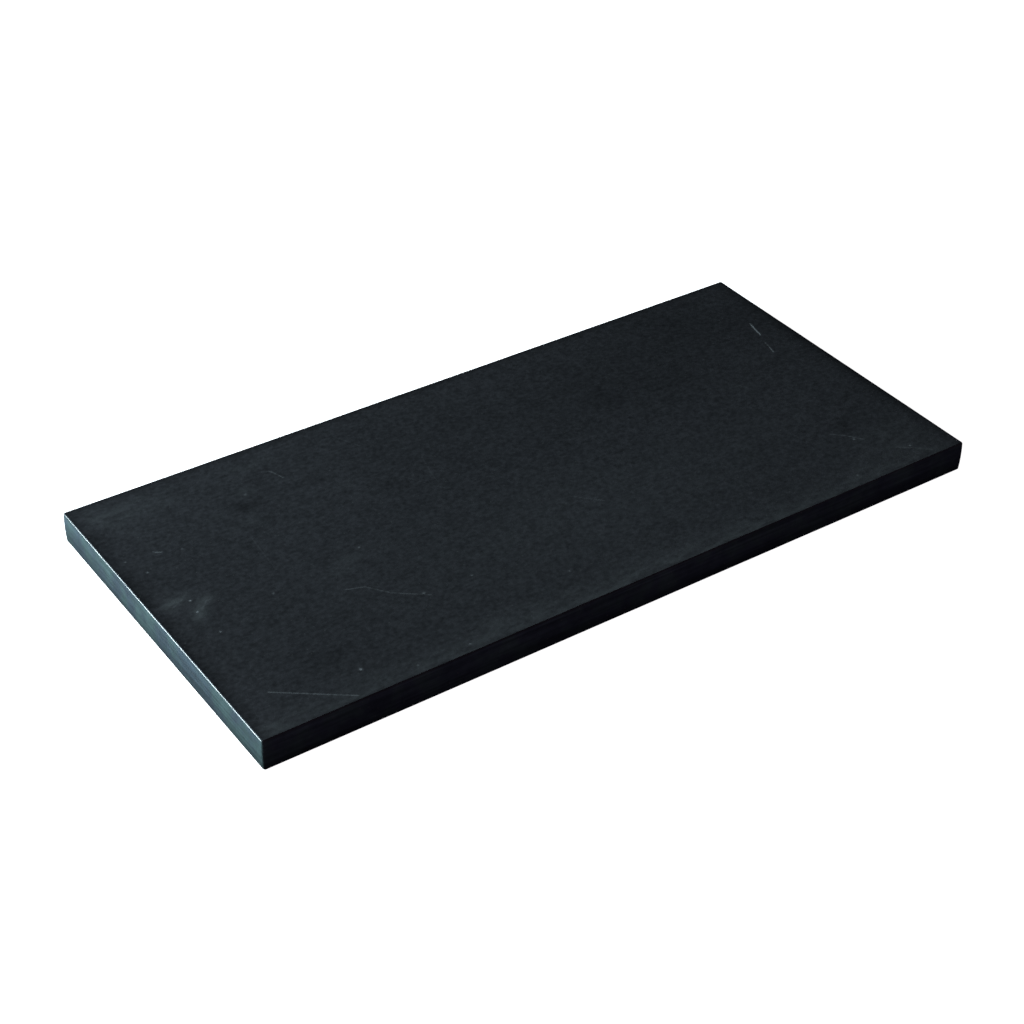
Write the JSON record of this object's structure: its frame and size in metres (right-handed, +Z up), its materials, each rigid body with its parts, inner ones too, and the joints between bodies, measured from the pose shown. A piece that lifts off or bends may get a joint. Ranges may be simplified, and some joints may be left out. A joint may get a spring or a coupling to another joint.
{
  "type": "massage stone slab",
  "caption": "Flat rectangular slab of honed black basalt with eased edges, laid warm or cool on the body in stone massage.",
  "frame": {"origin": "middle of the bottom face, the face that the slab rests on", "axes": "+X along the length, +Y across the width, +Z up through the thickness"},
  "size_m": [0.25, 0.12, 0.01],
  "materials": {
    "basalt": "honed"
  },
  "bodies": {
    "root": {"stone_slab": "basalt"}
  },
  "joints": []
}
